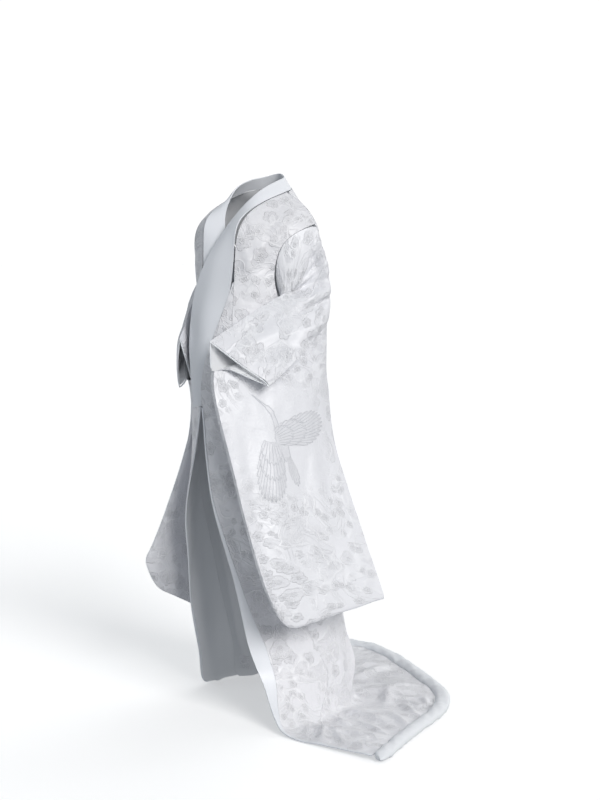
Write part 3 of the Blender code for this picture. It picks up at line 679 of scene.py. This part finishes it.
def blossoms(cloth, place, figure):
    """Scattered flower heads or leaves: their filled shape and their fine outlines."""
    stretched = cloth.scaled(place, 1.0 / figure.spacing)
    settings = {"voronoi_dimensions": "2D"}
    sockets = {"Vector": stretched, "Scale": 1.0, "Randomness": 0.85}
    cells = cloth.add("ShaderNodeTexVoronoi", settings, sockets)
    chance = cloth.add("ShaderNodeSeparateColor", {}, {0: cloth.other_output(cells, "Color")})
    second_chance = cloth.other_output(chance, 1)
    x, y = cloth.parts(cloth.less(stretched, cloth.other_output(cells, "Position")))
    away = ((x * x + y * y) ** 0.5) * figure.spacing
    turn = y.maths("ARCTAN2", x) + chance * FULL_TURN
    lobes = ((turn * figure.petals).maths("COSINE") * 0.5 + 0.5) ** 0.45
    reach = (lobes * 0.30 + 0.70) * (second_chance * 0.60 + 0.55) * figure.size
    filled = (away - reach).under(0.0, SOFT_EDGE)
    outline = abs(away - reach).under(LINE_WIDTH, 0.0009)
    heart = abs(away - reach * 0.30).under(0.0009, 0.0008)
    veins = abs((turn * figure.petals).maths("SINE")).under(0.22, 0.20) * filled
    chosen = second_chance.under(0.80, 0.01)
    return filled * chosen, (outline.most(heart).most(veins * 0.5)) * chosen


def cloud_scrolls(cloth, place, size, lines):
    """Curling cloud and wave lines, one beside the next."""
    settings = {"noise_dimensions": "2D"}
    sockets = {"Vector": place, "Scale": 1.0 / size, "Detail": 0.6, "Distortion": 1.3}
    swirl = cloth.add("ShaderNodeTexNoise", settings, sockets)
    return abs((swirl * (FULL_TURN * lines)).maths("SINE")).under(0.30, 0.22)


def limb(cloth, x, y, start, end, start_width, end_width):
    """How far a place lies outside a tapered stroke between two points."""
    run_x, run_y = end[0] - start[0], end[1] - start[1]
    square = run_x * run_x + run_y * run_y
    from_x, from_y = x - start[0], y - start[1]
    along = ((from_x * run_x + from_y * run_y) / square).least(1.0).most(0.0)
    aside_x, aside_y = from_x - along * run_x, from_y - along * run_y
    width = along * (end_width - start_width) + start_width
    return (aside_x * aside_x + aside_y * aside_y) ** 0.5 - width


def feather_fan(cloth, x, y, root, first_angle, last_angle, start, reach, feathers):
    """A fan of feathers: its shape, and the fine lines between them and round their tips."""
    from_x, from_y = x - root[0], y - root[1]
    away = (from_x * from_x + from_y * from_y) ** 0.5
    middle = math.radians((first_angle + last_angle) / 2.0)
    half = math.radians(abs(last_angle - first_angle) / 2.0)
    along = from_x * math.cos(middle) + from_y * math.sin(middle)
    aside = from_y * math.cos(middle) - from_x * math.sin(middle)
    turn = aside.maths("ARCTAN2", along)
    step = turn * (feathers / (2.0 * half))
    scallop = abs((step * math.pi).maths("COSINE")) * FEATHER_SCALLOP + (1.0 - FEATHER_SCALLOP)
    taper = 1.0 - (turn * turn) * (FAN_TAPER / (half * half))
    edge = away - scallop * taper * reach
    spread = abs(turn).under(half, 0.02) * (start - away).under(0.0, FEATHER_EDGE)
    shape = edge.under(0.0, FEATHER_EDGE) * spread
    between = abs((step * math.pi).maths("SINE")).under(0.20, 0.14)
    tips = abs(edge).under(0.0008, 0.0008)
    return shape, (shape * between).most(tips * spread)


def flying_crane(cloth, place):
    """A crane in flight, as old bridal brocades have it, near nought of the pattern."""
    x, y = cloth.parts(place)
    gap = None
    for stroke in CRANE_STROKES:
        reach = limb(cloth, x, y, *stroke)
        gap = reach if gap is None else gap.least(reach)
    shape = gap.under(0.0, SOFT_EDGE)
    lines = abs(gap).under(0.0010, 0.0009)
    for fan in CRANE_FANS:
        feathers, between = feather_fan(cloth, x, y, *fan)
        shape = shape.most(feathers)
        lines = (lines * (1.0 - feathers)).most(between)
    return shape, lines


def weave_brocade(name, ground, figure, bright, drawn, crumple_depth, crane):
    """White satin ground with raised figures of the same white."""
    cloth = Finish(name, 0.5, 0.15)
    place = cloth.pattern_place()
    dense = cloth.noise(place, FLOWER_BEDS, 1.0).under(0.50, 0.04)
    wander = cloth.noise(place, CLOUD_PATCHES, 2.5)
    patches = wander.under(CLOUD_LEVEL, 0.015)
    patch_edges = abs(wander - CLOUD_LEVEL).under(0.008, 0.006)
    flowers, flower_lines = blossoms(cloth, place, FLOWERS)
    buds, bud_lines = blossoms(cloth, place, BUDS)
    leaves, leaf_lines = blossoms(cloth, cloth.scaled(place, 0.93), LEAVES)
    clouds = cloud_scrolls(cloth, place, CLOUD_SIZE, CLOUD_LINES)
    scrolls = cloud_scrolls(cloth, cloth.scaled(place, 1.07), SCROLL_SIZE, SCROLL_LINES)
    scattered = 1.0 - dense
    shape = (flowers * dense).most(buds * scattered * 0.7).most(leaves * dense * 0.8)
    shape = shape.most(patches * 0.55)
    lines = (flower_lines * dense).most(bud_lines * scattered).most(leaf_lines * dense)
    lines = lines.most(clouds * scattered * 0.75).most(scrolls * patches * 0.6)
    lines = lines.most(patch_edges * 0.8)
    if crane:
        x, y = cloth.parts(place)
        bird, bird_lines = flying_crane(cloth, place)
        clear = ((x * x + y * y) ** 0.5).under(CRANE_CLEARING, CRANE_CLEARING_EDGE)
        shape = shape * (1.0 - clear * 0.85)
        lines = lines * (1.0 - clear * 0.80)
    inked = cloth.mixed(shape * 0.68, ground, figure)
    colour = cloth.mixed(lines * 0.55, inked, bright)
    relief = shape * 0.5 + lines * 0.6
    if crane:
        colour = cloth.mixed(bird * 0.60, colour, figure)
        colour = cloth.mixed(bird_lines * 0.55, colour, drawn)
        relief = relief + bird * 0.5 - bird_lines * 0.3
    cloth.join(colour, cloth.shader.inputs["Base Color"])
    cloth.join(shape * 0.12 + 0.42 - lines * 0.08, cloth.shader.inputs["Roughness"])
    soft = cloth.bumped(cloth.noise(place, BROCADE_CRUMPLES, 3.0), crumple_depth, 0.7)
    threads = cloth.noise(place, BROCADE_THREADS, 2.0)
    woven = cloth.bumped(threads, BROCADE_THREAD_DEPTH, 0.5, soft)
    raised = cloth.bumped(relief, RELIEF_HEIGHT, 1.0, woven)
    cloth.join(raised, cloth.shader.inputs["Normal"])
    return cloth.material


def weave_satin(name, colour, roughness, crumples, crumple_depth):
    """Plain white silk, with so many soft crumples to the metre."""
    cloth = Finish(name, roughness, 0.15)
    place = cloth.pattern_place()
    tone = cloth.noise(place, SATIN_TONES, 1.0)
    deeper = tuple(channel * 0.95 for channel in colour[:3]) + (1.0,)
    cloth.join(cloth.mixed(tone, deeper, colour), cloth.shader.inputs["Base Color"])
    soft = cloth.bumped(cloth.noise(place, crumples, 2.0), crumple_depth, 0.5)
    threads = cloth.noise(place, SATIN_THREADS, 1.0)
    woven = cloth.bumped(threads, SATIN_THREAD_DEPTH, 0.4, soft)
    cloth.join(woven, cloth.shader.inputs["Normal"])
    return cloth.material


def dress_cloth(cut):
    """A panel, sleeve, collar or front edging: a creased wall of cloth, lined where it is brocade."""
    piece = copy_solid(cut.solid)
    mark_walls(piece)
    straighten_pattern(piece, at_height(*cut.place), cut.spot)
    piece.data.materials.append(outsides[cut.finish])
    piece.data.materials.append(lining)
    if cut.finish != "satin":
        line_inside(piece, cut.solid)
    subdivide(piece, cut.halvings)
    crease_cloth(piece, cut.solid)
    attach(piece, "root")
    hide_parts(cut.solid)
    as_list(cut.rests_on)


def dress_padding(name, halvings, puckers=(), ends=()):
    """Rolls and pipings: plain satin over wadding, softly puckered where puckers are given."""
    piece = copy_solid(name)
    if ends:
        round_ends(piece, HEM_END_ROUND)
    mark_walls(piece)
    straighten_pattern(piece, (0.0, 0.0, 0.0), (0.0, 0.0))
    piece.data.materials.append(roll_satin)
    subdivide(piece, halvings)
    places = read_places(piece)
    outward = robe_outward(places)
    moved = puckered(places, puckers) - dents(places, puckers)
    write_places(piece, pinch_ends(places + outward * moved[:, None], ends))
    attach(piece, "root")
    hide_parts(name)


def add_soft_sun(name, towards_light, spread, strength, colour):
    """A far, broad studio lamp, set by the way towards it."""
    bpy.ops.object.light_add(type="SUN")
    lamp = bpy.context.object
    lamp.name = name
    lamp.data.angle = math.radians(spread)
    lamp.data.energy = strength
    lamp.data.color = colour
    lamp.rotation_euler = Vector(towards_light).to_track_quat("Z", "Y").to_euler()


def set_stage():
    """A white floor in a white surround, which only fills the picture and lights nothing."""
    middle = (0.0, 0.0, FLOOR - FLOOR_GAP)
    bpy.ops.mesh.primitive_circle_add(
        vertices=96, radius=STAGE_RADIUS, fill_type="NGON", location=middle
    )
    floor = bpy.context.object
    floor.name = "studio_floor"
    paper = Finish("floor_paper", 0.9, 0.0)
    paper.shader.inputs["Base Color"].default_value = (0.90, 0.90, 0.90, 1.0)
    paper.shader.inputs["Emission Color"].default_value = (1.0, 1.0, 1.0, 1.0)
    paper.shader.inputs["Emission Strength"].default_value = FLOOR_GLOW
    floor.data.materials.append(paper.material)
    floor.visible_diffuse = False
    bpy.ops.mesh.primitive_uv_sphere_add(segments=48, ring_count=24, radius=SURROUND_RADIUS)
    surround = bpy.context.object
    surround.name = "studio_surround"
    white = Finish("surround_white", 1.0, 0.0)
    white.shader.inputs["Base Color"].default_value = (0.0, 0.0, 0.0, 1.0)
    white.shader.inputs["Specular IOR Level"].default_value = 0.0
    white.shader.inputs["Emission Color"].default_value = (1.0, 1.0, 1.0, 1.0)
    white.shader.inputs["Emission Strength"].default_value = SURROUND_GLOW
    surround.data.materials.append(white.material)
    surround.visible_diffuse = False
    surround.visible_glossy = False
    surround.visible_transmission = False
    surround.visible_shadow = False
    world = bpy.data.worlds.new("studio")
    bpy.context.scene.world = world
    world.use_nodes = True
    sky = world.node_tree.nodes["Background"]
    sky.inputs["Color"].default_value = (0.90, 0.95, 1.0, 1.0)
    sky.inputs["Strength"].default_value = SKY_STRENGTH
    bpy.context.scene.view_settings.view_transform = "Standard"
    bpy.context.scene.view_settings.exposure = 0.0


def set_camera():
    camera = bpy.data.cameras.new("photo_view")
    camera.lens = LENS
    camera.sensor_width = SENSOR_WIDTH
    holder = bpy.data.objects.new("photo_view", camera)
    bpy.context.scene.collection.objects.link(holder)
    holder.location = CAMERA_PLACE
    holder.rotation_euler = (math.radians(90.0 - CAMERA_DIP), 0.0, math.radians(CAMERA_AROUND))
    bpy.context.scene.camera = holder


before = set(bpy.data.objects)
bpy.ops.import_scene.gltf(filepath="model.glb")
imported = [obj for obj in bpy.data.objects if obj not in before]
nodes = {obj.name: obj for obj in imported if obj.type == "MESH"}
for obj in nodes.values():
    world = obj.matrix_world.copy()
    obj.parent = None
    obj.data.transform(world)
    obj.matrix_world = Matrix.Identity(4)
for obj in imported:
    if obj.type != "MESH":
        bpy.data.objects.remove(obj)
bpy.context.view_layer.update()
set_camera()
set_stage()

sleeve_brocade = weave_brocade(
    "sleeve_brocade",
    ground=(0.82, 0.825, 0.86, 1.0),
    figure=(0.71, 0.715, 0.75, 1.0),
    bright=(0.91, 0.915, 0.94, 1.0),
    drawn=(0.54, 0.56, 0.60, 1.0),
    crumple_depth=0.008,
    crane=True,
)
# The body panels wear the sleeves' brocade, but its ground and figure are toned a little darker and warmer.
# This is painted shade for the body and the train that lies on the floor, which sit in more shade than the
# sleeves.
body_brocade_with_painted_shade = weave_brocade(
    "body_brocade_with_painted_shade",
    ground=(0.80, 0.80, 0.83, 1.0),
    figure=(0.69, 0.69, 0.72, 1.0),
    bright=(0.92, 0.92, 0.94, 1.0),
    drawn=(0.54, 0.56, 0.60, 1.0),
    crumple_depth=0.012,
    crane=False,
)
plain_satin = weave_satin(
    "collar_satin", colour=(0.83, 0.85, 0.89, 1.0), roughness=0.42, crumples=10.0, crumple_depth=0.003
)
roll_satin = weave_satin(
    "padded_satin", colour=(0.84, 0.86, 0.89, 1.0), roughness=0.45, crumples=30.0, crumple_depth=0.003
)
lining = weave_satin(
    "lining_silk", colour=(0.82, 0.83, 0.85, 1.0), roughness=0.45, crumples=8.0, crumple_depth=0.004
)

outsides = {"body": body_brocade_with_painted_shade, "sleeve": sleeve_brocade, "satin": plain_satin}
for cut in CUTS:
    dress_cloth(cut)
dress_padding("hem_roll", 2, PUCKERS, HEM_ROLL_ENDS)
dress_padding("sleeve_edging_left", 1)
dress_padding("sleeve_edging_right", 1)

add_soft_sun("window", (0.80, -0.32, 0.42), 26.0, 2.24, (1.0, 0.985, 0.97))
add_soft_sun("behind", (-0.15, 0.85, 0.46), 60.0, 0.80, (1.0, 1.0, 1.0))
add_soft_sun("fill", (-0.55, -0.80, 0.35), 50.0, 0.34, (0.88, 0.94, 1.0))
